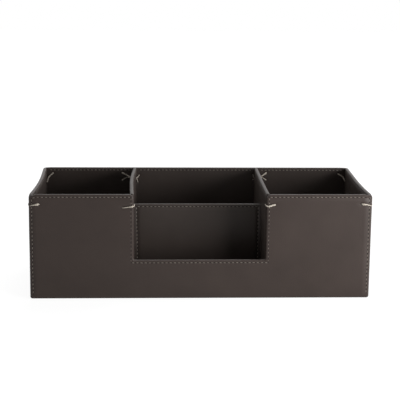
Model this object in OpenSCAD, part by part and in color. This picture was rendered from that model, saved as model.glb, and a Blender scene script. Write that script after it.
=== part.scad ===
// Desk caddy made of leather-covered board. Two pencil bins stand on either side of a middle bay.
// The front wall drops to a low lip across the middle bay, and a lower divider crosses it,
// with a tray in front of the divider and a letter slot behind.
// Millimetres. The front faces -Y and +Z is up. The origin lies on the resting plane,
// under the middle of the body.

/* [Body] */
// Width of the body over its leather
body_w = 356; // [320:1:400]
// Depth of the body over its leather
body_d = 140; // [120:1:170]
// Height of the body above the resting plane
body_h = 112; // [100:1:140]
// Radius of the four upright outer corners
corner_r = 3; // [2:0.5:8]

/* [Walls] */
// Thickness of the board inside each wall, partition and divider
board_t = 2.4; // [1.6:0.1:3.6]
// Thickness of the leather on each face
leather_t = 0.8; // [0.6:0.05:1.1]
// Radius of the leather where it turns over an edge
edge_r = 1.2; // [0.8:0.1:1.5]

/* [Base] */
// Thickness of the board under the floor
base_t = 2.4; // [1.6:0.1:4]
// Height of the lower leather edge above the resting plane
foot_gap = 0.4; // [0.2:0.1:1.5]
// Distance from the outside of the body to the rim of the pad underneath
pad_inset = 6; // [5.5:0.5:15]
// Radius of the corners of the pad
pad_corner_r = 3; // [1:0.5:8]

/* [Bays] */
// Inner width of the left bin
left_bin_w = 100; // [85:0.5:112]
// Inner width of the middle bay
bay_w = 137.5; // [125:0.5:150]
// Radius of the front top corner of each partition
partition_corner_r = 3; // [2:0.5:8]
// Inner depth of the tray in front of the divider
tray_d = 51; // [38:1:70]
// Height of the divider above the resting plane
divider_h = 88.5; // [70:0.5:98]

/* [Front cut-out] */
// How far the cut-out runs past the right face of the middle bay
cut_past_bay = 0; // [0:0.25:4]
// Height of the lip under the cut-out above the resting plane
lip_h = 42; // [25:0.5:60]
// Radius where the front wall's top turns down into the cut-out
cut_top_r = 5; // [2:0.5:8]
// Radius in the lower corners of the cut-out
cut_low_r = 2; // [1:0.25:6]

/* [Seams] */
// Distance from an edge to the middle of its row of stitching
seam_inset = 2.8; // [2:0.1:4]
// Width of the pressed groove that holds the stitching
groove_w = 0.8; // [0.6:0.05:1.2]
// Depth of the groove
groove_d = 0.3; // [0.15:0.05:0.45]
// Room between the thread and the sides of its groove, and between the thread and the surface
thread_gap = 0.1; // [0.05:0.01:0.12]
// Distance from the lower edge of a wall to the end of its upright rows
seam_low = 5; // [3:0.5:20]

/* [Tacks] */
// Diameter of the waxed thread of the hand-sewn tacks
tack_d = 1.2; // [1:0.05:1.5]
// How far from each of its corners the thread starts to bend
tack_bend = 0.4; // [0.2:0.05:0.5]
// Room round the thread in its hole
tack_gap = 0.1; // [0.05:0.01:0.2]
// Distance from the top of the body down to the tacks
tack_drop = 10; // [8:0.5:20]
// Distance from an outer corner to the tack's hole in each wall
tack_reach = 10; // [9:0.5:16]
// Distance from the edge of the cut-out to the tack's hole in the front wall
cut_tack_reach = 11; // [7:0.5:16]
// Distance from the front lining to the cut-out tack's hole in the partition
cut_tack_back = 5; // [3:0.5:10]
// Distance from a partition to its tack's holes in the back wall
back_tack_reach = 9; // [5:0.5:14]
// Distance from the back lining to the tack's holes in the partition
back_tack_back = 4; // [3:0.5:8]
// Height of the upper holes in the back wall over the lower ones
back_tack_spread = 8; // [5:0.5:12]
// Height of the upper hole in the partition over the lower one
back_tack_pinch = 1.7; // [1.6:0.1:4]

/* [Hidden] */
$fn = 64;
panel_t = board_t + 2 * leather_t;
pad_t = foot_gap + leather_t;
floor_board_z = pad_t + base_t;
floor_z = floor_board_z + leather_t;
core_top = body_h - leather_t;
outer_x = body_w / 2;
outer_y = body_d / 2;
inner_x = outer_x - panel_t;
inner_y = outer_y - panel_t;
board_x = inner_x + leather_t;
board_y = inner_y + leather_t;
bay_x0 = left_bin_w - inner_x + panel_t;
bay_x1 = bay_x0 + bay_w;
left_partition_x = bay_x0 - panel_t;
right_partition_x = bay_x1;
cut_x0 = bay_x0;
cut_x1 = bay_x1 + cut_past_bay;
divider_y = tray_d - inner_y;
divider_back_y = divider_y + panel_t;
thread_w = groove_w - 2 * thread_gap;
thread_t = groove_d - thread_gap;
corner_seam_inset = max(seam_inset, corner_r + thread_w / 2);
seam_x = outer_x - corner_seam_inset;
seam_y = outer_y - corner_seam_inset;
seam_top = body_h - seam_inset;
cut_seam_x0 = cut_x0 - seam_inset;
cut_seam_x1 = cut_x1 + seam_inset;
cut_seam_z = lip_h - seam_inset;
row_end = seam_inset;
tack_r = tack_d / 2;
tack_out = tack_r + tack_gap / 2;
hole_d = tack_d + 2 * tack_gap;
tack_z = body_h - tack_drop;
tack_x = outer_x - tack_reach;
tack_y = outer_y - tack_reach;
left_cut_tack_x = cut_x0 - cut_tack_reach;
right_cut_tack_x = cut_x1 + cut_tack_reach;
cut_tack_y = cut_tack_back - inner_y;
back_tack_y = inner_y - back_tack_back;
past = 1;
thread_sides = 10;
corner_steps = 4;
up_low = foot_gap + seam_low;
wall_sides = [-1, 1];

// Section of a wall: x runs inwards from the outer face, y is the height.
module wall_section() {
    translate([0, foot_gap + edge_r])
        square([panel_t, body_h - foot_gap - 2 * edge_r]);
    translate([edge_r, foot_gap])
        square([panel_t - edge_r, edge_r + past]);
    translate([edge_r, body_h - edge_r - past])
        square([panel_t - 2 * edge_r, edge_r + past]);
    translate([edge_r, foot_gap + edge_r])
        circle(edge_r);
    for (x = [edge_r, panel_t - edge_r])
        translate([x, body_h - edge_r])
            circle(edge_r);
}

// The outer leather wraps the board's face, its top and its foot.
module outer_leather_section() {
    difference() {
        wall_section();
        translate([leather_t, pad_t])
            square([panel_t, core_top - pad_t]);
    }
}

module wall_board_section() {
    translate([leather_t, pad_t])
        square([board_t, core_top - pad_t]);
}

module lining_section() {
    intersection() {
        wall_section();
        translate([leather_t + board_t, floor_board_z])
            square([leather_t, core_top - floor_board_z]);
    }
}

module rounded_rectangle(w, d, r) {
    square([w - 2 * r, d], center = true);
    square([w, d - 2 * r], center = true);
    for (x = [r - w / 2, w / 2 - r], y = [r - d / 2, d / 2 - r])
        translate([x, y])
            circle(r);
}

// Runs a section along the wall that stands at distance half_d from the middle, towards -Y,
// with its ends mitred and its outer corners rounded.
module wall_run(half_w, half_d) {
    intersection() {
        translate([-half_w, -half_d, 0])
            rotate([90, 0, 90])
                linear_extrude(2 * half_w)
                    children();
        linear_extrude(body_h + past)
            intersection() {
                rounded_rectangle(2 * half_w, 2 * half_d, corner_r);
                polygon([[-half_w, -half_d], [half_w, -half_d],
                         [half_w - 2 * panel_t, 2 * panel_t - half_d],
                         [2 * panel_t - half_w, 2 * panel_t - half_d]]);
            }
    }
}

module front_run() {
    wall_run(outer_x, outer_y) children();
}

module back_run() {
    rotate([0, 0, 180])
        wall_run(outer_x, outer_y) children();
}

module left_run() {
    rotate([0, 0, -90])
        wall_run(outer_y, outer_x) children();
}

module right_run() {
    rotate([0, 0, 90])
        wall_run(outer_y, outer_x) children();
}

// The cut-out in the front wall, larger by grow on every side.
module cut_out_outline(grow) {
    low_r = cut_low_r + grow;
    top_r = cut_top_r - grow;
    x0 = cut_x0 - grow;
    x1 = cut_x1 + grow;
    z0 = lip_h - grow;
    translate([x0, z0 + low_r])
        square([x1 - x0, body_h + past - z0 - low_r]);
    translate([x0 + low_r, z0])
        square([x1 - x0 - 2 * low_r, low_r + past]);
    for (x = [x0 + low_r, x1 - low_r])
        translate([x, z0 + low_r])
            circle(low_r);
    difference() {
        translate([x0 - top_r, body_h - cut_top_r])
            square([x1 - x0 + 2 * top_r, cut_top_r + past]);
        for (x = [x0 - top_r, x1 + top_r])
            translate([x, body_h - cut_top_r])
                circle(top_r);
        translate([x0 - top_r - past, body_h - grow])
            square([top_r + past, grow + 2 * past]);
        translate([x1, body_h - grow])
            square([top_r + past, grow + 2 * past]);
    }
}

module cut_out(grow) {
    translate([0, past - inner_y, 0])
        rotate([90, 0, 0])
            linear_extrude(panel_t + 2 * past)
                cut_out_outline(grow);
}

// A band of width w along a chain of level and upright lines.
module band(points, w) {
    for (i = [1 : len(points) - 1]) {
        a = points[i - 1];
        b = points[i];
        translate([min(a.x, b.x) - w / 2, min(a.y, b.y) - w / 2])
            square([abs(b.x - a.x) + w, abs(b.y - a.y) + w]);
    }
}

// The rows of stitching, seen from the front in x and height.
FRONT_OUTER_ROWS = [[[-seam_x, up_low], [-seam_x, seam_top], [cut_seam_x0, seam_top],
                     [cut_seam_x0, cut_seam_z], [cut_seam_x1, cut_seam_z],
                     [cut_seam_x1, seam_top], [seam_x, seam_top], [seam_x, up_low]]];
FRONT_INNER_ROWS = [[[row_end - inner_x, seam_top], [left_partition_x - row_end, seam_top]],
                    [[bay_x0 + row_end, cut_seam_z], [bay_x1 - row_end, cut_seam_z]],
                    [[right_partition_x + panel_t + row_end, seam_top], [inner_x - row_end, seam_top]]];
BACK_OUTER_ROWS = [[[-seam_x, up_low], [-seam_x, seam_top], [seam_x, seam_top], [seam_x, up_low]]];
BACK_INNER_ROWS = [[[row_end - inner_x, seam_top], [left_partition_x - row_end, seam_top]],
                   [[bay_x0 + row_end, seam_top], [bay_x1 - row_end, seam_top]],
                   [[right_partition_x + panel_t + row_end, seam_top], [inner_x - row_end, seam_top]]];
SIDE_OUTER_ROWS = [[[-seam_y, up_low], [-seam_y, seam_top], [seam_y, seam_top], [seam_y, up_low]]];
SIDE_INNER_ROWS = [[[row_end - inner_y, seam_top], [inner_y - row_end, seam_top]]];
DIVIDER_ROWS = [[[bay_x0 + row_end, floor_z + seam_low], [bay_x0 + row_end, divider_h - seam_inset],
                 [bay_x1 - row_end, divider_h - seam_inset], [bay_x1 - row_end, floor_z + seam_low]]];

// Bands of width w and depth d let into a face that looks towards -Y at y, starting lift below it.
module rows_facing_front(rows, w, y, lift, d) {
    for (points = rows)
        translate([0, y + lift + d, 0])
            rotate([90, 0, 0])
                linear_extrude(d)
                    band(points, w);
}

// The same for a face that looks towards +Y.
module rows_facing_back(rows, w, y, lift, d) {
    for (points = rows)
        translate([0, y - lift, 0])
            rotate([90, 0, 0])
                linear_extrude(d)
                    band(points, w);
}

module groove_facing_front(rows, y) {
    rows_facing_front(rows, groove_w, y, -past, groove_d + past);
}

module groove_facing_back(rows, y) {
    rows_facing_back(rows, groove_w, y, -past, groove_d + past);
}

module thread_facing_front(rows, y) {
    rows_facing_front(rows, thread_w, y, thread_gap, thread_t);
}

module thread_facing_back(rows, y) {
    rows_facing_back(rows, thread_w, y, thread_gap, thread_t);
}

// A closed loop of waxed thread through the points, with its corners cut short where it bends.
module thread_loop(points) {
    count = len(points);
    route = [for (i = [0 : count - 1])
        let (before = points[(i + count - 1) % count], here = points[i], after = points[(i + 1) % count])
        each [here + tack_bend * unit(before - here), here + tack_bend * unit(after - here)]];
    for (i = [0 : len(route) - 1])
        hull()
            for (p = [route[i], route[(i + 1) % len(route)]])
                translate(p)
                    sphere(tack_r, $fn = thread_sides);
}

function unit(v) = v / norm(v);

// Hole for a tack, from a to b.
module tack_hole(a, b) {
    d = b - a;
    translate(a)
        rotate([0, acos(d.z / norm(d)), atan2(d.y, d.x)])
            cylinder(h = norm(d), d = hole_d);
}

// Holes of the four corner tacks, of the two at the cut-out and of the two at the partitions.
module tack_holes() {
    for (x = wall_sides * tack_x, y = wall_sides)
        tack_hole([x, y * (inner_y - past), tack_z], [x, y * (outer_y + past), tack_z]);
    for (x = wall_sides, y = wall_sides * tack_y)
        tack_hole([x * (inner_x - past), y, tack_z], [x * (outer_x + past), y, tack_z]);
    for (x = [left_cut_tack_x, right_cut_tack_x])
        tack_hole([x, past - inner_y, tack_z], [x, -outer_y - past, tack_z]);
    tack_hole([left_partition_x - past, cut_tack_y, tack_z], [bay_x0 + past, cut_tack_y, tack_z]);
    tack_hole([bay_x1 - past, cut_tack_y, tack_z], [bay_x1 + panel_t + past, cut_tack_y, tack_z]);
    for (x = [left_partition_x, right_partition_x]) {
        for (half = wall_sides / 2) {
            z = tack_z + half * back_tack_pinch;
            tack_hole([x - past, back_tack_y, z], [x + panel_t + past, back_tack_y, z]);
        }
        for (side = wall_sides, half = wall_sides / 2) {
            z = tack_z + half * back_tack_spread;
            tack_hole([back_tack_x(x, side), inner_y - past, z],
                      [back_tack_x(x, side), outer_y + past, z]);
        }
    }
}

// Place of a partition tack's holes in the back wall, on the left or right side of the partition.
function back_tack_x(partition_x, side) =
    partition_x + panel_t / 2 + side * (panel_t / 2 + back_tack_reach);

module base_board() {
    color("#8a7a66")
        translate([-board_x, -board_y, pad_t])
            cube([2 * board_x, 2 * board_y, base_t]);
}

module base_pad() {
    color("#2c2826")
        linear_extrude(pad_t)
            rounded_rectangle(body_w - 2 * pad_inset, body_d - 2 * pad_inset, pad_corner_r);
}

module front_board() {
    color("#8a7a66")
        difference() {
            front_run() wall_board_section();
            cut_out(leather_t);
            tack_holes();
        }
}

module front_leather() {
    color("#40373a")
        difference() {
            union() {
                front_run() outer_leather_section();
                intersection() {
                    front_run() wall_section();
                    cut_out(leather_t);
                }
            }
            cut_out(0);
            groove_facing_front(FRONT_OUTER_ROWS, -outer_y);
            tack_holes();
        }
}

module front_lining() {
    color("#332c2b")
        difference() {
            front_run() lining_section();
            cut_out(leather_t);
            groove_facing_back(FRONT_INNER_ROWS, -inner_y);
            tack_holes();
        }
}

module back_board() {
    color("#8a7a66")
        difference() {
            back_run() wall_board_section();
            tack_holes();
        }
}

module back_leather() {
    color("#40373a")
        difference() {
            back_run() outer_leather_section();
            groove_facing_back(BACK_OUTER_ROWS, outer_y);
            tack_holes();
        }
}

module back_lining() {
    color("#332c2b")
        difference() {
            back_run() lining_section();
            groove_facing_front(BACK_INNER_ROWS, inner_y);
            tack_holes();
        }
}

module left_side_board() {
    color("#8a7a66")
        difference() {
            left_run() wall_board_section();
            tack_holes();
        }
}

module left_side_leather() {
    color("#40373a")
        difference() {
            left_run() outer_leather_section();
            rotate([0, 0, -90])
                groove_facing_front(SIDE_OUTER_ROWS, -outer_x);
            tack_holes();
        }
}

module left_side_lining() {
    color("#332c2b")
        difference() {
            left_run() lining_section();
            rotate([0, 0, -90])
                groove_facing_back(SIDE_INNER_ROWS, -inner_x);
            tack_holes();
        }
}

module right_side_board() {
    color("#8a7a66")
        difference() {
            right_run() wall_board_section();
            tack_holes();
        }
}

module right_side_leather() {
    color("#40373a")
        difference() {
            right_run() outer_leather_section();
            rotate([0, 0, 90])
                groove_facing_front(SIDE_OUTER_ROWS, -outer_x);
            tack_holes();
        }
}

module right_side_lining() {
    color("#332c2b")
        difference() {
            right_run() lining_section();
            rotate([0, 0, 90])
                groove_facing_back(SIDE_INNER_ROWS, -inner_x);
            tack_holes();
        }
}

// Outline of a partition from the side, drawn in y and height, smaller by inset at its front and top.
module partition_outline(inset) {
    r = partition_corner_r - inset;
    front = inset - inner_y;
    top = body_h - inset;
    translate([front, floor_board_z])
        square([inner_y - front, top - r - floor_board_z]);
    translate([front + r, floor_board_z])
        square([inner_y - front - r, top - floor_board_z]);
    translate([front + r, top - r])
        circle(r);
}

module partition_core(x) {
    translate([x + leather_t, 0, 0])
        rotate([90, 0, 90])
            linear_extrude(board_t)
                partition_outline(leather_t);
}

// Section of a partition or of the divider with its top edges rounded.
module covered_section(top) {
    translate([0, floor_board_z])
        square([panel_t, top - edge_r - floor_board_z]);
    translate([edge_r, floor_board_z])
        square([panel_t - 2 * edge_r, top - floor_board_z]);
    for (x = [edge_r, panel_t - edge_r])
        translate([x, top - edge_r])
            circle(edge_r);
}

module partition_leather(x) {
    difference() {
        intersection() {
            translate([x, inner_y, 0])
                rotate([90, 0, 0])
                    linear_extrude(2 * inner_y)
                        covered_section(body_h);
            translate([x, 0, 0])
                rotate([90, 0, 90])
                    linear_extrude(panel_t)
                        partition_outline(0);
        }
        partition_core(x);
        rotate([0, 0, 90]) {
            groove_facing_front(SIDE_INNER_ROWS, -x - panel_t);
            groove_facing_back(SIDE_INNER_ROWS, -x);
        }
        tack_holes();
    }
}

module left_partition_board() {
    color("#8a7a66")
        difference() {
            partition_core(left_partition_x);
            tack_holes();
        }
}

module left_partition_leather() {
    color("#3a3230")
        partition_leather(left_partition_x);
}

module right_partition_board() {
    color("#8a7a66")
        difference() {
            partition_core(right_partition_x);
            tack_holes();
        }
}

module right_partition_leather() {
    color("#3a3230")
        partition_leather(right_partition_x);
}

module divider_board() {
    color("#8a7a66")
        translate([bay_x0, divider_y + leather_t, floor_board_z])
            cube([bay_w, board_t, divider_h - leather_t - floor_board_z]);
}

module divider_leather() {
    color("#3a3230")
        difference() {
            translate([bay_x0, divider_y, 0])
                rotate([90, 0, 90])
                    linear_extrude(bay_w)
                        difference() {
                            covered_section(divider_h);
                            translate([leather_t, floor_board_z - past])
                                square([board_t, divider_h - leather_t - floor_board_z + past]);
                        }
            groove_facing_front(DIVIDER_ROWS, divider_y);
            groove_facing_back(DIVIDER_ROWS, divider_back_y);
        }
}

module floor_sheet(x0, x1, y0, y1) {
    color("#2b2523")
        translate([x0, y0, floor_board_z])
            cube([x1 - x0, y1 - y0, leather_t]);
}

module left_bin_floor() {
    floor_sheet(-inner_x, left_partition_x, -inner_y, inner_y);
}

module tray_floor() {
    floor_sheet(bay_x0, bay_x1, -inner_y, divider_y);
}

module letter_slot_floor() {
    floor_sheet(bay_x0, bay_x1, divider_back_y, inner_y);
}

module right_bin_floor() {
    floor_sheet(right_partition_x + panel_t, inner_x, -inner_y, inner_y);
}

module front_seam_thread() {
    color("#a39a90") {
        thread_facing_front(FRONT_OUTER_ROWS, -outer_y);
        thread_facing_back(FRONT_INNER_ROWS, -inner_y);
    }
}

module back_seam_thread() {
    color("#a39a90") {
        thread_facing_back(BACK_OUTER_ROWS, outer_y);
        thread_facing_front(BACK_INNER_ROWS, inner_y);
    }
}

module side_seam_thread() {
    color("#a39a90") {
        thread_facing_front(SIDE_OUTER_ROWS, -outer_x);
        thread_facing_back(SIDE_INNER_ROWS, -inner_x);
    }
}

module left_side_seam_thread() {
    rotate([0, 0, -90])
        side_seam_thread();
}

module right_side_seam_thread() {
    rotate([0, 0, 90])
        side_seam_thread();
}

module partition_seam_thread(x) {
    color("#a39a90")
        rotate([0, 0, 90]) {
            thread_facing_front(SIDE_INNER_ROWS, -x - panel_t);
            thread_facing_back(SIDE_INNER_ROWS, -x);
        }
}

module left_partition_seam_thread() {
    partition_seam_thread(left_partition_x);
}

module right_partition_seam_thread() {
    partition_seam_thread(right_partition_x);
}

module divider_seam_thread() {
    color("#a39a90") {
        thread_facing_front(DIVIDER_ROWS, divider_y);
        thread_facing_back(DIVIDER_ROWS, divider_back_y);
    }
}

// Tack over the front left corner: a loop that lies round the corner outside
// and crosses the corner inside.
module corner_tack() {
    bend = [corner_r - outer_x, corner_r - outer_y, tack_z];
    round_r = (corner_r + tack_out) / cos(45 / corner_steps);
    round_corner = [for (a = [0 : 90 / corner_steps : 90])
        bend - round_r * [sin(a), cos(a), 0]];
    color("#b0a597")
        thread_loop(concat([[tack_out - inner_x, -tack_y, tack_z],
                            [-tack_x, tack_out - inner_y, tack_z],
                            [-tack_x, -outer_y - tack_out, tack_z]],
                           round_corner,
                           [[-outer_x - tack_out, -tack_y, tack_z]]));
}

module front_left_tack() {
    corner_tack();
}

module front_right_tack() {
    mirror([1, 0, 0])
        corner_tack();
}

module back_left_tack() {
    mirror([0, 1, 0])
        corner_tack();
}

module back_right_tack() {
    rotate([0, 0, 180])
        corner_tack();
}

// Tack that ties the front wall to a partition at the cut-out: along the front,
// round the upright edge and through the partition.
module cut_out_tack(hole_x, bay_face_x) {
    front = -outer_y - tack_out;
    bay_x = bay_face_x + tack_out;
    color("#b0a597")
        thread_loop([[hole_x, tack_out - inner_y, tack_z],
                     [hole_x, front, tack_z],
                     [bay_x, front, tack_z],
                     [bay_x, cut_tack_y, tack_z],
                     [bay_face_x - panel_t - tack_out, cut_tack_y, tack_z]]);
}

module left_cut_out_tack() {
    cut_out_tack(left_cut_tack_x, bay_x0);
}

module right_cut_out_tack() {
    mirror([1, 0, 0])
        cut_out_tack(-right_cut_tack_x, -bay_x1);
}

// Tack that ties a partition to the back wall: one thread, sewn as a V on each side
// of the partition, through it and down the outside of the back wall.
module partition_tack(x) {
    upper = tack_z + back_tack_spread / 2;
    lower = tack_z - back_tack_spread / 2;
    pinch = back_tack_pinch / 2;
    bin_face = x - tack_out;
    bay_face = x + panel_t + tack_out;
    bin_x = back_tack_x(x, -1);
    bay_x = back_tack_x(x, 1);
    wall_in = inner_y - tack_out;
    wall_out = outer_y + tack_out;
    color("#b0a597")
        thread_loop([[bin_face, back_tack_y, tack_z + pinch], [bay_face, back_tack_y, tack_z + pinch],
                     [bay_x, wall_in, upper], [bay_x, wall_out, upper],
                     [bay_x, wall_out, lower], [bay_x, wall_in, lower],
                     [bay_face, back_tack_y, tack_z - pinch], [bin_face, back_tack_y, tack_z - pinch],
                     [bin_x, wall_in, lower], [bin_x, wall_out, lower],
                     [bin_x, wall_out, upper], [bin_x, wall_in, upper]]);
}

module left_partition_tack() {
    mirror([1, 0, 0])
        partition_tack(-left_partition_x - panel_t);
}

module right_partition_tack() {
    partition_tack(right_partition_x);
}

base_board();
base_pad();
front_board();
front_leather();
front_lining();
back_board();
back_leather();
back_lining();
left_side_board();
left_side_leather();
left_side_lining();
right_side_board();
right_side_leather();
right_side_lining();
left_partition_board();
left_partition_leather();
right_partition_board();
right_partition_leather();
divider_board();
divider_leather();
left_bin_floor();
tray_floor();
letter_slot_floor();
right_bin_floor();
front_seam_thread();
back_seam_thread();
left_side_seam_thread();
right_side_seam_thread();
left_partition_seam_thread();
right_partition_seam_thread();
divider_seam_thread();
front_left_tack();
front_right_tack();
back_left_tack();
back_right_tack();
left_cut_out_tack();
right_cut_out_tack();
left_partition_tack();
right_partition_tack();
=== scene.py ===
import math

import bmesh
import bpy
from mathutils import Matrix, Vector, noise


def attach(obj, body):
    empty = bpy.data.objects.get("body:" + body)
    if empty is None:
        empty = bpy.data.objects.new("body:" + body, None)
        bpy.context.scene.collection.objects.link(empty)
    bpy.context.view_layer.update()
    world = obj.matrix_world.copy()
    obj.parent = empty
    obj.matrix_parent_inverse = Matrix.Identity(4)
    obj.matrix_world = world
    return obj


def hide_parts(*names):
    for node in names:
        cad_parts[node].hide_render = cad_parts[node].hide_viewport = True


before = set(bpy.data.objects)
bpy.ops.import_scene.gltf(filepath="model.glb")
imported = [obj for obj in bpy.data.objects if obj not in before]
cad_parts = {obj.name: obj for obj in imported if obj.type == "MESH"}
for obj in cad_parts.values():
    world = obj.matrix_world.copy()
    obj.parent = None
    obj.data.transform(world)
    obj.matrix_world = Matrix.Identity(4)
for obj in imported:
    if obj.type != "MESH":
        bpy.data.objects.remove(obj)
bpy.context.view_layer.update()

mm = 0.001

# The camera stands a little over a metre in front of the caddy, somewhat to the left of its middle
# and above its rim, and looks slightly down through a long lens. A small shift of the lens brings
# the upright edges closer to parallel.
scene = bpy.context.scene
camera_turn, camera_tilt, camera_lean = -0.03979, 0.16764, 0.00978
bpy.ops.object.camera_add(location=(-45.15 * mm, -1065.34 * mm, 348.24 * mm))
camera = bpy.context.object
camera.name = "camera"
ahead = Vector((-math.sin(camera_turn), math.cos(camera_turn), 0))
aside = Vector((math.cos(camera_turn), math.sin(camera_turn), 0))
upward = Vector((0, 0, 1)) * math.cos(camera_tilt) + ahead * math.sin(camera_tilt)
onward = ahead * math.cos(camera_tilt) - Vector((0, 0, 1)) * math.sin(camera_tilt)
right_hand = aside * math.cos(camera_lean) + upward * math.sin(camera_lean)
overhead = upward * math.cos(camera_lean) - aside * math.sin(camera_lean)
camera.matrix_world = (Matrix.Translation(camera.location)
                       @ Matrix((right_hand, overhead, -onward)).transposed().to_4x4())
camera.data.sensor_width = 36
camera.data.lens = 89.2
camera.data.shift_x = 0.0075
camera.data.shift_y = -0.175
camera.data.clip_end = 20
scene.camera = camera
scene.view_settings.view_transform = "Standard"

# The caddy stands on a plain white studio floor before a white background. The floor takes the
# light as white paper does.
# For the eye its glow is painted a little dimmer within 0.8 m of the caddy, a painted shade round
# it, so the caddy's own soft shadow shows there, near its foot, and nowhere further out.
floor_half = 4.0


def add_node(tree, kind, **values):
    """Adds a shader node. Each value goes to its setting or its input of that name."""
    node = tree.nodes.new("ShaderNode" + kind)
    for name, value in values.items():
        if hasattr(node, name):
            setattr(node, name, value)
        else:
            node.inputs[name.replace("_", " ")].default_value = value
    return node


def seen_by_eye(tree):
    """1 for what the eye meets, straight on, in a gloss or through glass, and 0 for the light
    that bounces off it."""
    path = add_node(tree, "LightPath")
    direct = add_node(tree, "Math", operation="MAXIMUM")
    seen = add_node(tree, "Math", operation="MAXIMUM")
    tree.links.new(path.outputs["Is Camera Ray"], direct.inputs[0])
    tree.links.new(path.outputs["Is Glossy Ray"], direct.inputs[1])
    tree.links.new(direct.outputs[0], seen.inputs[0])
    tree.links.new(path.outputs["Is Transmission Ray"], seen.inputs[1])
    return seen.outputs[0]


bpy.ops.object.select_all(action="DESELECT")
bpy.ops.mesh.primitive_plane_add(size=2 * floor_half, location=(0, 0, 0))
studio_floor = bpy.context.object
studio_floor.name = "studio_floor"
paper = bpy.data.materials.new("white_paper")
paper.use_nodes = True
tree = paper.node_tree
tree.nodes.clear()
paper_out = add_node(tree, "OutputMaterial")
paper_lit = add_node(tree, "BsdfDiffuse", Color=(0.8, 0.8, 0.8, 1))
paper_shadow = add_node(tree, "BsdfDiffuse", Color=(0.2, 0.2, 0.2, 1))
paper_white = add_node(tree, "Emission")
paper_place = add_node(tree, "TexCoord")
paper_reach = add_node(tree, "VectorMath", operation="LENGTH")
# Painted shade: for the eye the paper glows at 0.92 within 0.3 m of the caddy, rising to full
# white at 0.8 m.
paper_glow_painted_shade = add_node(tree, "MapRange", From_Min=0.3, From_Max=0.8, To_Min=0.92, To_Max=1.0)
paper_seen = add_node(tree, "AddShader")
paper_mix = add_node(tree, "MixShader")
tree.links.new(paper_place.outputs["Object"], paper_reach.inputs[0])
tree.links.new(paper_reach.outputs["Value"], paper_glow_painted_shade.inputs["Value"])
tree.links.new(paper_glow_painted_shade.outputs["Result"], paper_white.inputs["Strength"])
tree.links.new(paper_shadow.outputs[0], paper_seen.inputs[0])
tree.links.new(paper_white.outputs[0], paper_seen.inputs[1])
tree.links.new(seen_by_eye(tree), paper_mix.inputs["Fac"])
tree.links.new(paper_lit.outputs[0], paper_mix.inputs[1])
tree.links.new(paper_seen.outputs[0], paper_mix.inputs[2])
tree.links.new(paper_mix.outputs[0], paper_out.inputs["Surface"])
studio_floor.data.materials.append(paper)

# The studio is white all round for the eye, and dim for the light that it sends back.
room = bpy.data.worlds.new("studio_room")
scene.world = room
room.use_nodes = True
tree = room.node_tree
tree.nodes.clear()
room_out = add_node(tree, "OutputWorld")
room_light = add_node(tree, "Background", Color=(1, 1, 1, 1), Strength=0.18)
room_white = add_node(tree, "Background", Color=(1, 1, 1, 1))
room_mix = add_node(tree, "MixShader")
tree.links.new(seen_by_eye(tree), room_mix.inputs["Fac"])
tree.links.new(room_light.outputs[0], room_mix.inputs[1])
tree.links.new(room_white.outputs[0], room_mix.inputs[2])
tree.links.new(room_mix.outputs[0], room_out.inputs["Surface"])

# A soft lamp stands near the caddy, to the right in front, so that its front grows darker towards
# the left. A broad weak one hangs above and behind it, over the rims.
for lamp_name, lamp_at, lamp_aim, lamp_wide, lamp_tall, lamp_power in (
        ("right_front_lamp", (0.66, -0.52, 0.2), (0.05, 0, 0.06), 0.6, 0.36, 8),
        ("rear_lamp", (0.2, 0.7, 1.2), (0, 0, 0.08), 1.0, 1.0, 12)):
    bpy.ops.object.select_all(action="DESELECT")
    bpy.ops.object.light_add(type="AREA", location=lamp_at)
    lamp = bpy.context.object
    lamp.name = lamp_name
    lamp.data.shape = "RECTANGLE"
    lamp.data.size = lamp_wide
    lamp.data.size_y = lamp_tall
    lamp.data.energy = lamp_power
    lamp.rotation_euler = (Vector(lamp_aim) - Vector(lamp_at)).to_track_quat("-Z", "Y").to_euler()

# Outer leather of the four walls. Each is one sheet of smooth dark brown leather, wrapped over a
# fibreboard core, turned over its top, foot and cut-out edges, and stitched in a pressed groove.
half_w = 178 * mm
half_d = 70 * mm
top = 112 * mm
foot = 0.4 * mm
wall = 4 * mm
leather = 0.8 * mm
roll = 1.8 * mm
corner_round = 3 * mm
cut_left, cut_right = -70 * mm, 67.5 * mm
lip = 42 * mm
cut_shoulder = 5 * mm
cut_foot = 2 * mm
stitch_in = 2.8 * mm
corner_stitch_in = 3.3 * mm
groove_half = 0.45 * mm
groove_depth = 0.3 * mm
stitch_pitch = 4.3 * mm
row_top = top - stitch_in
row_low = foot + 5 * mm
hide_mesh = 9 * mm
wave_depth, wave_density, wave_seed = 0.16 * mm, 22, 90
smooth_up_to = math.radians(38)
near = 0.01 * mm            # what lies this close to a line or a face lies on it
skin = 0.45 * mm            # what lies this close to a face belongs to it


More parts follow.
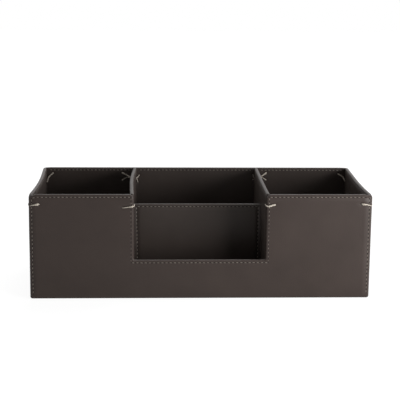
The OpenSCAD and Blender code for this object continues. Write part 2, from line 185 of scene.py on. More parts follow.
def leather_finish(name, dark, light, roughness, grain=0.35, gloss=0.18):
    """Smooth dyed hide: a fine pebble grain, a soft mottle in the dye and in the polish, and a
    dark spot of painted shade for a needle hole between every two stitches, where the mesh notes a
    seam."""
    material = bpy.data.materials.new(name)
    material.use_nodes = True
    tree = material.node_tree
    link = tree.links.new
    shader = tree.nodes["Principled BSDF"]
    shader.inputs["Specular IOR Level"].default_value = gloss
    place = add_node(tree, "TexCoord")
    mottle = add_node(tree, "TexNoise", Scale=38, Detail=5)
    pebble = add_node(tree, "TexVoronoi", feature="SMOOTH_F1", Scale=950, Smoothness=0.6)
    crease = add_node(tree, "TexNoise", Scale=420, Detail=6)
    for texture in (mottle, pebble, crease):
        link(place.outputs["Object"], texture.inputs["Vector"])

    dye = add_node(tree, "Mix", data_type="RGBA", A=(*dark, 1), B=(*light, 1))
    polish = add_node(tree, "MapRange", To_Min=roughness - 0.06, To_Max=roughness + 0.06)
    link(mottle.outputs["Fac"], dye.inputs["Factor"])
    link(mottle.outputs["Fac"], polish.inputs["Value"])
    link(polish.outputs["Result"], shader.inputs["Roughness"])

    relief = add_node(tree, "Math", operation="MULTIPLY_ADD")
    relief.inputs[1].default_value = 0.6
    bump = add_node(tree, "Bump", Strength=grain, Distance=0.12 * mm)
    link(crease.outputs["Fac"], relief.inputs[0])
    link(pebble.outputs["Distance"], relief.inputs[2])
    link(relief.outputs[0], bump.inputs["Height"])
    link(bump.outputs["Normal"], shader.inputs["Normal"])

    # Painted shade: a near-black spot on the dye between every two stitches stands for the shade
    # inside each needle hole.
    seam = add_node(tree, "UVMap", uv_map="seam")
    seam_parts = add_node(tree, "SeparateXYZ")
    hole_far = add_node(tree, "Math", operation="PINGPONG")
    hole_far.inputs[1].default_value = 0.5
    hole_near = add_node(tree, "MapRange", From_Min=0.14, From_Max=0.22, To_Min=1, To_Max=0)
    in_row = add_node(tree, "MapRange", From_Min=0.1, From_Max=0.4, To_Min=0, To_Max=1)
    hole_shade_mask = add_node(tree, "Math", operation="MULTIPLY")
    hole_painted_shade = add_node(tree, "Mix", data_type="RGBA", B=(0.004, 0.003, 0.003, 1))
    link(seam.outputs["UV"], seam_parts.inputs["Vector"])
    link(seam_parts.outputs["X"], hole_far.inputs[0])
    link(hole_far.outputs[0], hole_near.inputs["Value"])
    link(seam_parts.outputs["Y"], in_row.inputs["Value"])
    link(hole_near.outputs["Result"], hole_shade_mask.inputs[0])
    link(in_row.outputs["Result"], hole_shade_mask.inputs[1])
    link(hole_shade_mask.outputs[0], hole_painted_shade.inputs["Factor"])
    link(dye.outputs["Result"], hole_painted_shade.inputs["A"])
    link(hole_painted_shade.outputs["Result"], shader.inputs["Base Color"])
    return material


outer_hide = leather_finish("outer_hide", (0.037, 0.027, 0.0235), (0.050, 0.037, 0.032), 0.40)


def edit(piece):
    """Selects the piece alone and opens its mesh for editing."""
    bpy.ops.object.select_all(action="DESELECT")
    piece.select_set(True)
    bpy.context.view_layer.objects.active = piece
    bpy.ops.object.mode_set(mode="EDIT")


def close_edit():
    bpy.ops.object.mode_set(mode="OBJECT")


def pick(piece, kind, test):
    """Selects the vertices, edges or faces of the open mesh whose corners all pass the test."""
    bpy.ops.mesh.select_mode(type=kind)
    bpy.ops.mesh.select_all(action="DESELECT")
    mesh = bmesh.from_edit_mesh(piece.data)
    for part in {"VERT": mesh.verts, "EDGE": mesh.edges, "FACE": mesh.faces}[kind]:
        corners = [part] if kind == "VERT" else part.verts
        if all(test(v.co) for v in corners):
            part.select_set(True)
    bmesh.update_edit_mesh(piece.data)


def drop(piece, test):
    """Deletes the faces of the open mesh whose corners all pass the test."""
    pick(piece, "FACE", test)
    bpy.ops.mesh.delete(type="FACE")


def cut(at, facing, **how):
    """Cuts the whole open mesh along a plane."""
    bpy.ops.mesh.select_all(action="SELECT")
    bpy.ops.mesh.bisect(plane_co=at, plane_no=facing, **how)


def grid(piece, xs, zs):
    """Cuts the open mesh upright at each x and level at each z."""
    for x in xs:
        cut((x, 0, 0), (1, 0, 0))
    for z in zs:
        cut((0, 0, z), (0, 0, 1))


def steps(first, last, step):
    """Evenly spread places between two others, about a step apart."""
    count = max(1, round((last - first) / step))
    return [first + (last - first) * i / count for i in range(1, count)]


def flat_sheet(name, wide, deep, at, tilt=0):
    """A flat rectangle, open for editing."""
    bpy.ops.object.select_all(action="DESELECT")
    bpy.ops.mesh.primitive_plane_add(size=1, location=at, rotation=(tilt, 0, 0))
    piece = bpy.context.object
    piece.name = piece.data.name = name
    piece.scale = (wide, deep, 1)
    bpy.ops.object.transform_apply(location=True, rotation=True, scale=True)
    edit(piece)
    return piece


def extrude(by):
    """Draws the open flat mesh out into a closed slab."""
    bpy.ops.mesh.select_all(action="SELECT")
    bpy.ops.mesh.extrude_region_move(TRANSFORM_OT_translate={"value": by})
    bpy.ops.mesh.select_all(action="SELECT")
    bpy.ops.mesh.normals_make_consistent(inside=False)


def wall_block(name, half, off, low, high, thick, grow=None):
    """A slab behind the plane y = -off. If grow is given, the cut-out is taken out of it, that
    much larger on every side."""
    piece = flat_sheet(name, 2 * half, high - low, (0, -off, (low + high) / 2), math.pi / 2)
    if grow is not None:
        left, right, sill = cut_left - grow, cut_right + grow, lip - grow
        cut((left, 0, 0), (1, 0, 0))
        cut((right, 0, 0), (1, 0, 0))
        cut((0, 0, sill), (0, 0, 1))
        drop(piece, lambda v: left - near < v.x < right + near and v.z > sill - near)
        bpy.ops.mesh.select_all(action="SELECT")
        bpy.ops.mesh.dissolve_limited(angle_limit=0.01)
        for level, radius in ((high, cut_shoulder - grow), (sill, cut_foot + grow)):
            pick(piece, "VERT", lambda v: abs(v.z - level) < near
                 and min(abs(v.x - left), abs(v.x - right)) < near)
            bpy.ops.mesh.bevel(offset=radius, segments=6, profile=0.5, affect="VERTICES")
    extrude((0, thick, 0))
    return piece


def soften(piece, faces_y, radius, left_sharp, segments=4):
    """Rounds the edges of the slab's two faces, apart from those that are left sharp."""
    pick(piece, "EDGE", lambda v: min(abs(v.y - y) for y in faces_y) < near)
    mesh = bmesh.from_edit_mesh(piece.data)
    for side in mesh.edges:
        a, b = side.verts[0].co, side.verts[1].co
        if side.select and (abs(a.y - b.y) > near or left_sharp((a + b) / 2)):
            side.select_set(False)
    bmesh.update_edit_mesh(piece.data)
    bpy.ops.mesh.bevel(offset=radius, segments=segments, profile=0.5, affect="EDGES")


def give_thickness(piece, thick, even=True):
    """Makes a sheet as thick as its leather, inwards from the face that shows."""
    body = piece.modifiers.new("leather_thickness", "SOLIDIFY")
    body.thickness = thick
    body.offset = -1
    body.use_even_offset = even
    bpy.ops.object.modifier_apply(modifier=body.name)


def mitre(half, off):
    """Cuts both ends of a wall at 45 degrees, where the next wall meets it."""
    for side in (-1, 1):
        cut((side * half, -off, 0), (side, 1, 0), use_fill=True, clear_outer=True)


def round_corners(piece, half, off):
    """Draws the mitred ends in, so that the upright corner of the caddy is round."""
    for v in piece.data.vertices:
        u = abs(v.co.x) - (half - corner_round)
        w = -v.co.y - (off - corner_round)
        if u > 0 and w > 0:
            reach, turn = max(u, w), math.pi / 4 * min(u, w) / max(u, w)
            if u > w:
                turn = math.pi / 2 - turn
            v.co.x = math.copysign(half - corner_round + reach * math.sin(turn), v.co.x)
            v.co.y = -(off - corner_round + reach * math.cos(turn))


# Each bow: the x of its wall, how far the rim moves at most, and where along the wall, from the
# front, it does.
bows = ((-176 * mm, 2.5 * mm, 0.47), (-72 * mm, -2.1 * mm, 0.55),
        (69.5 * mm, -0.5 * mm, 0.40), (176 * mm, -2.0 * mm, 0.36))
bow_foot, bow_near, bow_fade = 5 * mm, 4 * mm, 12 * mm
sink_reach, sink_low, front_sink, back_sink = 9 * mm, 90 * mm, 4 * mm, 0.8 * mm


def bulge(t, peak):
    """A smooth rise and fall between 0 and 1, highest at the given place."""
    t = min(max(t, 0), 1)
    return math.sin(math.pi * t ** (math.log(0.5) / math.log(peak))) ** 1.1


def bow(piece):
    """Long use has bowed the side walls and the partitions a little, most at the top, and the rim
    eases down at the four corners, where the walls are tied together."""
    for v in piece.data.vertices:
        corner = 1 - math.hypot(abs(v.co.x) - half_w, abs(v.co.y) - half_d) / sink_reach
        high = min(max((v.co.z - sink_low) / (top - sink_low), 0), 1)
        if corner > 0:
            sink = front_sink if v.co.y < 0 else back_sink
            v.co.z -= sink * corner * corner * high * high * (3 - 2 * high)
        rise = min(max((v.co.z - bow_foot) / (top - bow_foot), 0), 1) ** 1.5
        along = (v.co.y + half_d - wall) / (2 * (half_d - wall))
        for wall_x, reach, peak in bows:
            gap = max(0, abs(v.co.x - wall_x) - bow_near) / bow_fade
            if gap < 1:
                v.co.x += reach * bulge(along, peak) * rise * (1 - gap * gap * (3 - 2 * gap))
                break


def dent(piece, holes, y, inward):
    """Presses the leather in round the holes of the tacks, where the thread pulls it down."""
    dent_depth, dent_reach = 0.55 * mm, 1.5 * mm
    for v in piece.data.vertices:
        if abs(v.co.y - y) < skin:
            far = min(((v.co.x - x) ** 2 + (v.co.z - z) ** 2) / dent_reach ** 2 for x, z in holes)
            v.co.y += inward * dent_depth * math.exp(-far)


def dress(piece, finish, slot_name, *stands_for):
    """Gives a finished piece its material and its body, and hides the parts that it stands for.
    The slot name is not used.
    """
    bpy.ops.object.select_all(action="DESELECT")
    piece.select_set(True)
    bpy.context.view_layer.objects.active = piece
    bpy.ops.object.shade_smooth_by_angle(angle=smooth_up_to)
    piece.data.materials.clear()
    piece.data.materials.append(finish)
    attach(piece, "root")
    if stands_for:
        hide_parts(*stands_for)


def settle(piece, turn, finish, slot_name, *stands_for):
    """Turns a finished wall piece to its side of the caddy, bows it and dresses it."""
    piece.data.transform(Matrix.Rotation(turn, 4, "Z"))
    bow(piece)
    dress(piece, finish, slot_name, *stands_for)


def chain(*points):
    """The rows of stitching from each point to the next."""
    return list(zip(points, points[1:]))


def three(places):
    """The two rims and the bottom of a groove at each place."""
    return [p + d for p in places for d in (-groove_half, 0, groove_half)]


def round_about(places):
    """Lines at and beside each place, close enough together for a dent."""
    return [p + d * mm for p in places for d in (-2.4, -1.4, -0.7, 0, 0.7, 1.4, 2.4)]


def row_lines(rows):
    """Where the face is cut so that the rows of stitching can be pressed in."""
    upright = sorted({a[0] for a, b in rows if a[0] == b[0]})
    level = sorted({a[1] for a, b in rows if a[1] == b[1]})
    ends = sorted({p[1] for row in rows for p in row} - set(level))
    sides = sorted({p[0] for row in rows for p in row} - set(upright))
    return three(upright) + sides, three(level) + ends


def hole_lines(holes):
    """Where the face is cut so that it can be pressed in round the holes."""
    xs, zs = sorted({x for x, z in holes}), sorted({z for x, z in holes})
    return round_about(xs), round_about(zs)


def groove(piece, rows, y, inward):
    """Presses the rows of stitching into a face, along lines that are already cut."""
    def on_row(v):
        return abs(v.y - y) < near and any(
            min(ax, bx) - near < v.x < max(ax, bx) + near
            and min(az, bz) - near < v.z < max(az, bz) + near
            for (ax, az), (bx, bz) in rows)
    pick(piece, "VERT", on_row)
    bpy.ops.transform.translate(value=(0, inward * groove_depth, 0))


def prick(piece, rows, *faces_y):
    """Notes how far along and how far off a seam its groove lies, for the painted shade of the
    needle holes.
    """
    layer = piece.data.uv_layers.new(name="seam", do_init=False)
    for face in piece.data.polygons:
        if min(abs(face.center.y - y) for y in faces_y) > skin:
            continue
        for (ax, az), (bx, bz) in rows:
            run = Vector((bx - ax, bz - az))
            length, run = run.length, run.normalized()
            pitch = length / round(length / stitch_pitch)
            here = Vector((face.center.x - ax, face.center.z - az))
            if 0 < here.dot(run) < length and abs(here.cross(run)) < groove_half:
                for loop in face.loop_indices:
                    spot = piece.data.vertices[piece.data.loops[loop].vertex_index].co
                    here = Vector((spot.x - ax, spot.z - az))
                    layer.data[loop].uv = (here.dot(run) / pitch,
                                           1 - abs(here.cross(run)) / groove_half)
                break


front_row_x = half_w - corner_stitch_in
back_row = chain((-front_row_x, row_low), (-front_row_x, row_top), (front_row_x, row_top),
                 (front_row_x, row_low))
front_rows = chain((-front_row_x, row_low), (-front_row_x, row_top),
                   (cut_left - stitch_in, row_top), (cut_left - stitch_in, lip - stitch_in),
                   (cut_right + stitch_in, lip - stitch_in), (cut_right + stitch_in, row_top),
                   (front_row_x, row_top), (front_row_x, row_low))
side_row_x = half_d - corner_stitch_in
side_row = chain((-side_row_x, row_low), (-side_row_x, row_top), (side_row_x, row_top),
                 (side_row_x, row_low))

# The tacks' holes dent the leather, so their places are listed here, in mm. A corner tack: side in
# x and y, hole (x, z) in the front or back, hole (y, z) in the side, half its thickness.
corner_tacks = (
    ("front_left_tack", -1, -1, (167.6, 101.8), (61, 101.3), 1.3),
    ("front_right_tack", 1, -1, (166.9, 102.2), (61, 101.4), 1.1),
    ("back_left_tack", -1, 1, (167, 105.6), (62, 96), 1.0),
    ("back_right_tack", 1, 1, (166.3, 104.8), (62, 97.5), 1.0))
# Hole (x, z), place (x, z) on the cut-out's edge, x in the bin, half its thickness at 3 places.
cut_out_tacks = (
    ("left_cut_out_tack", (-82.2, 98.3), (-70, 99.6), -74, (0.42, 0.62, 1.05)),
    ("right_cut_out_tack", (76.4, 101.3), (67.5, 99.8), 71.5, (1.0, 1.15, 1.0)))
# The partition's face in the bin and in the bay, x and both z of the holes in the bin, upper and
# lower hole (x, z) in the bay, half its thickness in the bay.
partition_tacks = (
    ("left_partition_tack", -74, -70, -86.4, (106, 98), (-67, 103.2), (-68.5, 95), 0.45),
    ("right_partition_tack", 71.5, 67.5, 81, (106, 98), (66, 104), (66, 98), 0.3))
# Each wall is drawn as seen from outside, so x runs the other way at the back.
tack_holes = {"front": [hole for _, hole, _, _, _ in cut_out_tacks],
              "back": [], "left_side": [], "right_side": []}
for _, x_side, y_side, (x, z), (y, side_z), _ in corner_tacks:
    tack_holes["front" if y_side < 0 else "back"].append((-y_side * x_side * x, z))
    tack_holes["left_side" if x_side < 0 else "right_side"].append((x_side * y_side * y, side_z))
for _, _, _, bin_x, (bin_high, bin_low), high_hole, low_hole, _ in partition_tacks:
    for x, z in ((bin_x, bin_high), (bin_x, bin_low), high_hole, low_hole):
        tack_holes["back"].append((-x, z))
walls = [(side, half, off, turn, rows, [(x * mm, z * mm) for x, z in tack_holes[side]])
         for side, half, off, turn, rows in (
             ("front", half_w, half_d, 0, front_rows),
             ("back", half_w, half_d, math.pi, back_row),
             ("left_side", half_d, half_w, -math.pi / 2, side_row),
             ("right_side", half_d, half_w, math.pi / 2, side_row))]

for side, half, off, turn, rows, holes in walls:
    hide = wall_block(side + "_wall_hide", half, off, foot, top, wall,
                      0 if side == "front" else None)
    soften(hide, (-off, wall - off), roll, lambda v: abs(v.x) > half - near)
    drop(hide, lambda v: v.y > wall - off - near)
    for end in (-half, half):
        drop(hide, lambda v: abs(v.x - end) < near)
    ends = [s * (half - corner_round + corner_round * f) for s in (-1, 1)
            for f in (0, 0.2, 0.4, 0.6, 0.8)]
    row_xs, row_zs = row_lines(rows)
    hole_xs, hole_zs = hole_lines(holes)
    grid(hide, steps(-half, half, hide_mesh) + ends + row_xs + hole_xs,
         steps(foot, top, hide_mesh) + row_zs + hole_zs)
    groove(hide, rows, -off, 1)
    close_edit()
    prick(hide, rows, -off)
    for v in hide.data.vertices:
        if v.co.y < skin - off:
            v.co.y += wave_depth * noise.noise(
                Vector((v.co.x * wave_density, v.co.z * wave_density, off * wave_seed)))
    dent(hide, holes, -off, 1)
    give_thickness(hide, leather)
    edit(hide)
    mitre(half, off)
    close_edit()
    round_corners(hide, half, off)
    settle(hide, turn, outer_hide, "outer_leather", side + "_leather")

# Lining of the four walls. A second sheet of the same hide, a little duller, and painted a little
# darker as shade for the inside of the caddy, is glued inside and butts against the turned edge of
# the outer one. Its top is stitched through the wall.
inner_hide_painted_shade = leather_finish("inner_hide_painted_shade", (0.034, 0.026, 0.0225), (0.046, 0.036, 0.0315), 0.45)
lining_low = 3.6 * mm
lining_ease = 0.25 * mm
lining_end_gap = 0.03 * mm
butt = roll + 0.05 * mm
bay_left, bay_right = cut_left, cut_right
inner_x, inner_y = half_w - wall, half_d - wall
level_rows = [((-inner_x + stitch_in, row_top), (bay_left - wall - stitch_in, row_top)),
              ((bay_right + wall + stitch_in, row_top), (inner_x - stitch_in, row_top))]
front_inner_rows = level_rows + [((bay_left + stitch_in, lip - stitch_in),
                                  (bay_right - stitch_in, lip - stitch_in))]
back_inner_rows = [((-bx, bz), (-ax, az)) for (ax, az), (bx, bz) in level_rows
                   + [((bay_left + stitch_in, row_top), (bay_right - stitch_in, row_top))]]
side_inner_row = [((-inner_y + stitch_in, row_top), (inner_y - stitch_in, row_top))]
lining_rows = {"front": front_inner_rows, "back": back_inner_rows,
               "left_side": side_inner_row, "right_side": side_inner_row}

for side, half, off, turn, _, holes in walls:
    rows = lining_rows[side]
    across = inner_x + leather if half == half_w else inner_y - lining_end_gap
    lining = wall_block(side + "_wall_lining", across, off - wall + leather, lining_low,
                        top - butt, leather, butt if side == "front" else None)
    soften(lining, (wall - off,), lining_ease, lambda v: abs(v.x) > across - near, 2)
    row_xs, row_zs = row_lines(rows)
    hole_xs, hole_zs = hole_lines(holes)
    grid(lining, steps(-across, across, hide_mesh) + row_xs + hole_xs,
         steps(lining_low, top, hide_mesh) + row_zs + hole_zs)
    groove(lining, rows, wall - off, -1)
    close_edit()
    prick(lining, rows, wall - off)
    dent(lining, holes, wall - off, -1)
    settle(lining, turn, inner_hide_painted_shade, "lining_leather", side + "_lining")

# Boards of the four walls. Dense brown fibreboard stiffens each wall between its two leathers. It
# stands on the pad round the base board, mitred at the corners, and nothing of it shows.
board = 2.4 * mm
board_low = 1.2 * mm
board_round = 0.9 * mm
board_mesh = 12 * mm


def fibre_finish(name, dark, light, roughness, gloss, scale, detail, relief, depth):
    """Pressed or spun fibres: pale ones with darker hollows between them."""
    material = bpy.data.materials.new(name)
    material.use_nodes = True
    tree = material.node_tree
    shader = tree.nodes["Principled BSDF"]
    shader.inputs["Roughness"].default_value = roughness
    shader.inputs["Specular IOR Level"].default_value = gloss
    place = add_node(tree, "TexCoord")
    fibre = add_node(tree, "TexNoise", Scale=scale, Detail=detail)
    tone = add_node(tree, "Mix", data_type="RGBA", A=(*dark, 1), B=(*light, 1))
    bump = add_node(tree, "Bump", Strength=relief, Distance=depth)
    tree.links.new(place.outputs["Object"], fibre.inputs["Vector"])
    tree.links.new(fibre.outputs["Fac"], tone.inputs["Factor"])
    tree.links.new(tone.outputs["Result"], shader.inputs["Base Color"])
    tree.links.new(fibre.outputs["Fac"], bump.inputs["Height"])
    tree.links.new(bump.outputs["Normal"], shader.inputs["Normal"])
    return material


fibreboard = fibre_finish("fibreboard", (0.20, 0.15, 0.10), (0.30, 0.23, 0.16), 0.9, 0.5,
                          scale=600, detail=8, relief=0.4, depth=0.1 * mm)

for side, half, off, turn, _, _ in walls:
    core = wall_block(side + "_wall_board", half - leather, off - leather, board_low,
                      top - leather, board, leather if side == "front" else None)
    soften(core, (leather - off, leather + board - off), board_round,
           lambda v: abs(v.x) > half - leather - near, 2)
    ends = [s * (half - corner_round * f) for s in (-1, 1) for f in (1, 0.75, 0.5)]
    grid(core, steps(-half, half, board_mesh) + ends, steps(foot, top, board_mesh))
    mitre(half, off)
    close_edit()
    round_corners(core, half, off)
    settle(core, turn, fibreboard, "board", side + "_board")

# The two partitions. Each is a fibreboard panel glued between the front and back linings, under
# one sheet of leather that is folded over its top, rounded off at the front and stitched.
partition_nose = 3 * mm
cover_mesh_x, cover_mesh_z = 7 * mm, 8 * mm
tied_at = [(61 * mm, 102 * mm), (-62 * mm, 102 * mm)]       # where the tacks go through
partitions = (("left_partition", bay_left - wall), ("right_partition", bay_right))


def fold_over(cover, half, high, face, rows, holes=()):
    """Finishes a folded cover: opens it below, stitches both faces and makes it leather-thick."""
    drop(cover, lambda v: v.z < lining_low + near)
    row_xs, row_zs = row_lines(rows)
    hole_xs, hole_zs = hole_lines(holes)
    grid(cover, steps(-half, half, cover_mesh_x) + row_xs + hole_xs,
         steps(lining_low, high, cover_mesh_z) + row_zs + hole_zs)
    groove(cover, rows, face, 1)
    groove(cover, rows, face + wall, -1)
    close_edit()
    prick(cover, rows, face, face + wall)
    give_thickness(cover, leather)


for name, face in partitions:
    cover = wall_block(name + "_cover", inner_y, -face, lining_low, top, wall)
    pick(cover, "EDGE", lambda v: v.x > inner_y - near and v.z > top - near)
    bpy.ops.mesh.bevel(offset=partition_nose, segments=8, profile=0.5, affect="EDGES")
    soften(cover, (face, face + wall), roll,
           lambda v: v.x < near - inner_y or v.z < lining_low + near)
    drop(cover, lambda v: v.x < near - inner_y)
    fold_over(cover, inner_y, top, face, side_inner_row, tied_at)
    settle(cover, -math.pi / 2, inner_hide_painted_shade, "lining_leather", name + "_leather")
    core = wall_block(name + "_core", inner_y, -face - leather, lining_low, top - leather, board)
    pick(core, "EDGE", lambda v: v.x > inner_y - near and v.z > top - leather - near)
    bpy.ops.mesh.bevel(offset=partition_nose, segments=4, profile=0.5, affect="EDGES")
    grid(core, steps(-inner_y, inner_y, board_mesh), steps(lining_low, top, board_mesh))
    close_edit()
    for v in core.data.vertices:
        v.co.x = min(v.co.x, inner_y - leather)
    settle(core, -math.pi / 2, fibreboard, "board", name + "_board")

# The low divider across the middle bay, a fibreboard panel with leather folded over its top. It
# is glued between the partitions and stitched along its top and down both ends.
divider_half = (bay_right - bay_left) / 2
divider_middle = (bay_right + bay_left) / 2
divider_top = 88.5 * mm
divider_front = -15 * mm
divider_back = divider_front + wall
divider_row_low = 9.4 * mm
divider_row_x = divider_half - stitch_in
divider_row_z = divider_top - stitch_in
divider_rows = chain((-divider_row_x, divider_row_low), (-divider_row_x, divider_row_z),
                     (divider_row_x, divider_row_z), (divider_row_x, divider_row_low))
cover = wall_block("divider_cover", divider_half, -divider_front, lining_low, divider_top, wall)
soften(cover, (divider_front, divider_back), roll,
       lambda v: abs(v.x) > divider_half - near or v.z < lining_low + near)
for end in (-divider_half, divider_half):
    drop(cover, lambda v: abs(v.x - end) < near)
fold_over(cover, divider_half, divider_top, divider_front, divider_rows)
cover.data.transform(Matrix.Translation((divider_middle, 0, 0)))
settle(cover, 0, inner_hide_painted_shade, "lining_leather", "divider_leather")

# The divider's board and the base board lie hidden between leather and felt. Both stay the plain
# sheets that they are, and only get the look of fibreboard.
for node in ("divider_board", "base_board"):
    plain_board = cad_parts[node]
    plain_board.data.materials.clear()
    plain_board.data.materials.append(fibreboard)

# Floor leathers. One thin sheet of matt split hide is glued on the base board in each bay, cut
# close to the walls, with its edges rolled down by the knife.
floor_hide = leather_finish("floor_hide", (0.026, 0.021, 0.018), (0.037, 0.030, 0.026), 0.7, 0.6)
floor_top = 4.4 * mm
floor_thick = 0.5 * mm
floor_gap = 0.1 * mm
edge_steps = (0.15 * mm, 0.3 * mm)
edge_drop = 0.25 * mm
flat_from = 0.4 * mm
floor_wave, floor_sag, floor_density, floor_seed = 0.15 * mm, 0.08 * mm, 40, 3.7
for name, x0, x1, y0, y1 in (
        ("left_bin_floor", -inner_x, bay_left - wall, -inner_y, inner_y),
        ("tray_floor", bay_left, bay_right, -inner_y, divider_front),
        ("letter_slot_floor", bay_left, bay_right, divider_back, inner_y),
        ("right_bin_floor", bay_right + wall, inner_x, -inner_y, inner_y)):
    sheet = flat_sheet(name + "_hide", x1 - x0 - floor_gap, y1 - y0 - floor_gap,
                       ((x0 + x1) / 2, (y0 + y1) / 2, floor_top))
    bpy.ops.mesh.select_all(action="SELECT")
    for width in edge_steps:
        bpy.ops.mesh.inset(thickness=width, depth=0)
    bpy.ops.mesh.subdivide(number_cuts=12)
    close_edit()
    for v in sheet.data.vertices:
        from_edge = min(v.co.x - x0, x1 - v.co.x, v.co.y - y0, y1 - v.co.y)
        if from_edge < floor_gap:
            v.co.z -= edge_drop
        elif from_edge > flat_from:
            v.co.z += floor_wave * noise.noise(
                Vector((v.co.x * floor_density, v.co.y * floor_density, floor_seed))) - floor_sag
    give_thickness(sheet, floor_thick, even=False)
    dress(sheet, floor_hide, "floor_leather", name)

# The pad underneath, a sheet of dense dark felt glued under the base, with rounded corners and
# a soft lower edge. It lifts the leather off the desk.
felt = leather_finish("dark_felt", (0.022, 0.020, 0.019), (0.034, 0.030, 0.029), 0.95, 1.0, 0.15)
pad_x, pad_y = 172 * mm, 64 * mm
pad_thick = 1.2 * mm
pad_corner = 3 * mm
pad_ease = 0.4 * mm
pad_mesh = 20 * mm
pad = flat_sheet("felt_pad", 2 * pad_x, 2 * pad_y, (0, 0, 0))
bpy.ops.mesh.select_all(action="SELECT")
bpy.ops.mesh.bevel(offset=pad_corner, segments=6, profile=0.5, affect="VERTICES")
extrude((0, 0, pad_thick))
pick(pad, "EDGE", lambda v: v.z < near)
bpy.ops.mesh.bevel(offset=pad_ease, segments=2, profile=0.5, affect="EDGES")
grid(pad, steps(-pad_x, pad_x, pad_mesh), [])
close_edit()
dress(pad, felt, "pad", "base_pad")

# Machine stitching along the edges of every panel. Fine grey-beige thread lies in the pressed
# grooves, one short slanting stitch after another, and dives into the leather at each hole.
spun = dict(gloss=0.3, scale=1800, detail=3, relief=0.5, depth=0.08 * mm)
seam_thread = fibre_finish("seam_thread", (0.15, 0.13, 0.11), (0.27, 0.24, 0.205), 0.7, **spun)
stitch_long = 2.7 * mm
stitch_radius = 0.19 * mm
stitch_deep = 0.62 * mm
stitch_lean = math.radians(7)
stitch_at = Vector((-stitch_long / 2, stitch_deep, 0))
bpy.ops.object.select_all(action="DESELECT")
bpy.ops.mesh.primitive_circle_add(vertices=6, radius=stitch_radius, fill_type="NGON",
                                  location=stitch_at, rotation=(0, -math.pi / 2, 0))
stitch = bpy.context.object
stitch.name = stitch.data.name = "stitch_pattern"
bpy.ops.object.transform_apply(location=True, rotation=True, scale=True)
edit(stitch)
for share, drop_by, girth in ((0.13, -0.30, 1.45), (0.25, -0.12, 1.15), (0.24, 0, 1.0),
                              (0.25, 0.12, 1 / 1.15), (0.13, 0.30, 1 / 1.45)):
    step = Vector((share * stitch_long, drop_by * mm, 0))
    stitch_at = stitch_at + step
    bpy.ops.mesh.extrude_region_move(TRANSFORM_OT_translate={"value": step})
    bpy.ops.transform.resize(value=(girth, girth, girth), center_override=stitch_at)
bpy.ops.mesh.select_all(action="SELECT")
bpy.ops.mesh.normals_make_consistent(inside=False)
close_edit()
stitch.data.transform(Matrix.Rotation(stitch_lean, 4, "Y"))


def sew(rows, y, facing):
    """Copies the stitch along each row on the face at y, which looks to the front (-1) or to the
    back (1)."""
    sewn = []
    for (ax, az), (bx, bz) in rows:
        run = Vector((bx - ax, 0, bz - az))
        count = round(run.length / stitch_pitch)
        line = stitch.copy()
        line.data = stitch.data.copy()
        scene.collection.objects.link(line)
        repeat = line.modifiers.new("row", "ARRAY")
        repeat.count = count
        repeat.use_relative_offset = False
        repeat.use_constant_offset = True
        repeat.constant_offset_displace = (run.length / count, 0, 0)
        bpy.context.view_layer.objects.active = line
        bpy.ops.object.modifier_apply(modifier=repeat.name)
        line.data.transform(Matrix.Translation((run.length / count / 2, 0, 0)))
        if facing > 0:
            line.data.transform(Matrix.Rotation(math.pi, 4, "X"))
        slope = math.atan2(run.z, run.x)
        line.data.transform(Matrix.Translation((ax, y, az)) @ Matrix.Rotation(-slope, 4, "Y"))
        sewn.append(line)
    return sewn


def join(name, parts):
    """Makes one piece of several."""
    bpy.ops.object.select_all(action="DESELECT")
    for part in parts:
        part.select_set(True)
    bpy.context.view_layer.objects.active = parts[0]
    bpy.ops.object.join()
    parts[0].name = parts[0].data.name = name
    return parts[0]


for side, half, off, turn, rows, _ in walls:
    seam = join(side + "_wall_stitches",
                sew(rows, -off, -1) + sew(lining_rows[side], wall - off, 1))
    round_corners(seam, half, off)
    settle(seam, turn, seam_thread, "seam_thread", side + "_seam_thread")
for name, face in partitions:
    seam = join(name + "_stitches",
                sew(side_inner_row, face, -1) + sew(side_inner_row, face + wall, 1))
    settle(seam, -math.pi / 2, seam_thread, "seam_thread", name + "_seam_thread")
seam = join("divider_stitches",
            sew(divider_rows, divider_front, -1) + sew(divider_rows, divider_back, 1))
seam.data.transform(Matrix.Translation((divider_middle, 0, 0)))
settle(seam, 0, seam_thread, "seam_thread", "divider_seam_thread")
bpy.data.objects.remove(stitch)

# Hand-sewn tacks. At each corner, at the sides of the cut-out and at the back of each partition
# two strands of thick waxed linen, twisted together, tie the walls through punched holes.
linen = fibre_finish("waxed_linen", (0.38, 0.335, 0.28), (0.66, 0.60, 0.52), 0.55, **spun)
twist_pitch = 3.4 * mm
strand_sides = 8
strand_apart = 0.45         # a strand's way from the middle, as a share of half the thickness
strand_half = 0.58          # half a strand, as a share of half the thickness
point_gap = 0.7             # mm from point to point along the route
bend_pull = 0.7             # how wide the route swings at each of its bends


def smooth_route(route):
    """Points close together on a smooth closed line through the given ones."""
    points = []
    for i in range(len(route)):
        p0, p1, p2, p3 = (Vector(route[(i + k) % len(route)]) for k in (-1, 0, 1, 2))
        length = (p2 - p1).length
        m1, m2 = p2 - p0, p3 - p1
        m1 = m1 * (min(length, (p1 - p0).length) / m1.length * bend_pull)
        m2 = m2 * (min(length, (p3 - p2).length) / m2.length * bend_pull)
        pieces = max(3, round(length / point_gap))
        for k in range(pieces):
            t = k / pieces
            points.append(p1 * (2 * t ** 3 - 3 * t ** 2 + 1) + m1 * (t ** 3 - 2 * t ** 2 + t)
                          + p2 * (3 * t ** 2 - 2 * t ** 3) + m2 * (t ** 3 - t ** 2))
    return points


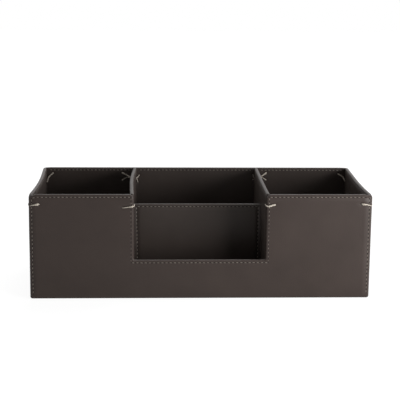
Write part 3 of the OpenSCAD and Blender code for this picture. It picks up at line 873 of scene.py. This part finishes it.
def tack(node, route):
    """A closed loop of twisted thread, from points of x, y, z and half its thickness, in mm."""
    points = smooth_route(route)
    places = [p.to_3d() * mm for p in points]
    girths = [p.w * mm for p in points]
    total = len(places)
    sides, run = [], [0.0]
    side = None
    for i in range(total + 1):
        along = (places[(i + 1) % total] - places[(i - 1) % total]).normalized()
        if side is None:
            side = along.orthogonal().normalized()
        side = (side - along * side.dot(along)).normalized()
        sides.append((side.copy(), along.cross(side)))
        run.append(run[-1] + (places[(i + 1) % total] - places[i % total]).length)
    slip = math.atan2(sides[total][0].dot(sides[0][1]), sides[total][0].dot(sides[0][0]))
    turns = max(1, round(run[total] / twist_pitch))
    curve = bpy.data.curves.new(node + "_strands", "CURVE")
    curve.dimensions = "3D"
    curve.bevel_depth = mm
    curve.bevel_resolution = strand_sides // 2 - 2
    for strand in (0, 1):
        spline = curve.splines.new("POLY")
        spline.points.add(total - 1)
        spline.use_cyclic_u = True
        for i in range(total):
            angle = run[i] / run[total] * (2 * math.pi * turns - slip) + strand * math.pi
            a, b = sides[i]
            off_line = (a * math.cos(angle) + b * math.sin(angle)) * girths[i] * strand_apart
            spline.points[i].co = (*(places[i] + off_line), 1)
            spline.points[i].radius = girths[i] * strand_half / mm
    cord = bpy.data.objects.new(node + "_strands", curve)
    scene.collection.objects.link(cord)
    bpy.ops.object.select_all(action="DESELECT")
    cord.select_set(True)
    bpy.context.view_layer.objects.active = cord
    bpy.ops.object.convert(target="MESH")
    cord = bpy.context.object
    cord.name = cord.data.name = node + "_strands"
    edit(cord)
    bpy.ops.mesh.select_all(action="SELECT")
    bpy.ops.mesh.normals_make_consistent(inside=False)
    close_edit()
    bow(cord)
    dress(cord, linen, "tack_thread", node)


# A corner tack runs across the corner inside, comes out, and goes round the corner outside.
for name, x_side, y_side, (face_x, face_z), (side_y, side_z), thick in corner_tacks:
    tack(name, [
        (x_side * x, y_side * y, face_z + share * (side_z - face_z), r) for x, y, share, r in (
            (173.4, side_y, 1, 0.6), (171.6, 64.2, 0.45, 0.85), (face_x, 65.4, 0, 0.75),
            (face_x, 68, 0, 0.6), (face_x + 0.4, 70.4, 0, thick),
            (face_x + 1.8, 71.2, 0.1, thick), (face_x + 5, 71, 0.35, 0.85),
            (174.8, 70.7, 0.5, 0.6), (177.1, 69.3, 0.65, 0.5), (178.1, 67, 0.75, 0.5),
            (178.4, 64.5, 0.9, 0.6), (178.2, side_y, 1, 0.75), (176, side_y, 1, 0.6))])

# A cut-out tack runs from its hole to the cut-out's edge, round it and through the partition.
for name, (hole_x, hole_z), (edge_x, edge_z), bin_x, bar in cut_out_tacks:
    s = 1 if edge_x > hole_x else -1
    tack(name, [
        (hole_x, -65.4, hole_z, 0.6), (hole_x, -68, hole_z, 0.6),
        (hole_x + s * 0.4, -70.2, hole_z, bar[0]), (hole_x + s * 2, -71, hole_z, bar[0]),
        ((hole_x + edge_x) / 2, -71.1, (hole_z + edge_z) / 2, bar[1]),
        (edge_x - s * 2, -71.1, edge_z, bar[2]), (edge_x, -70.5, edge_z + 0.3, 0.7),
        (edge_x + s * 0.5, -68.5, edge_z + 0.2, 0.5), (edge_x + s * 0.5, -62.5, edge_z, 0.5),
        (edge_x, -61, edge_z, 0.6), (bin_x, -61, edge_z, 0.6),
        (bin_x - s * 0.5, -61.6, edge_z - 0.2, 0.6)])

# A partition tack ties the partition to the back wall from both of its faces.
for (name, bin_face, bay_face, bin_x, (bin_high, bin_low), (high_x, high_z), (low_x, low_z),
     thin) in partition_tacks:
    s = 1 if bay_face > bin_face else -1
    tack(name, [
        (bin_face - s * 0.5, 62, 100.6, 0.5), (bay_face + s * 0.5, 62, 100.8, thin),
        (high_x, 65.5, high_z, thin), (high_x, 68, high_z, 0.6), (high_x, 70.8, high_z, 0.7),
        (low_x, 70.8, low_z, 0.7), (low_x, 68, low_z, 0.6), (low_x, 65.5, low_z, thin),
        (bay_face + s * 0.4, 62, 99.6, thin), (bin_face - s * 0.5, 62, 99.6, 0.5),
        ((bin_face + bin_x) / 2, 64.6, 101, 0.5),
        (bin_x, 65.3, bin_low - 0.4, 0.75), (bin_x, 68, bin_low, 0.6),
        (bin_x, 70.6, bin_low + 0.7, 0.7), (bin_x, 70.6, bin_high - 0.7, 0.7),
        (bin_x, 68, bin_high, 0.6), (bin_x, 65.2, bin_high - 0.1, 1.0)])
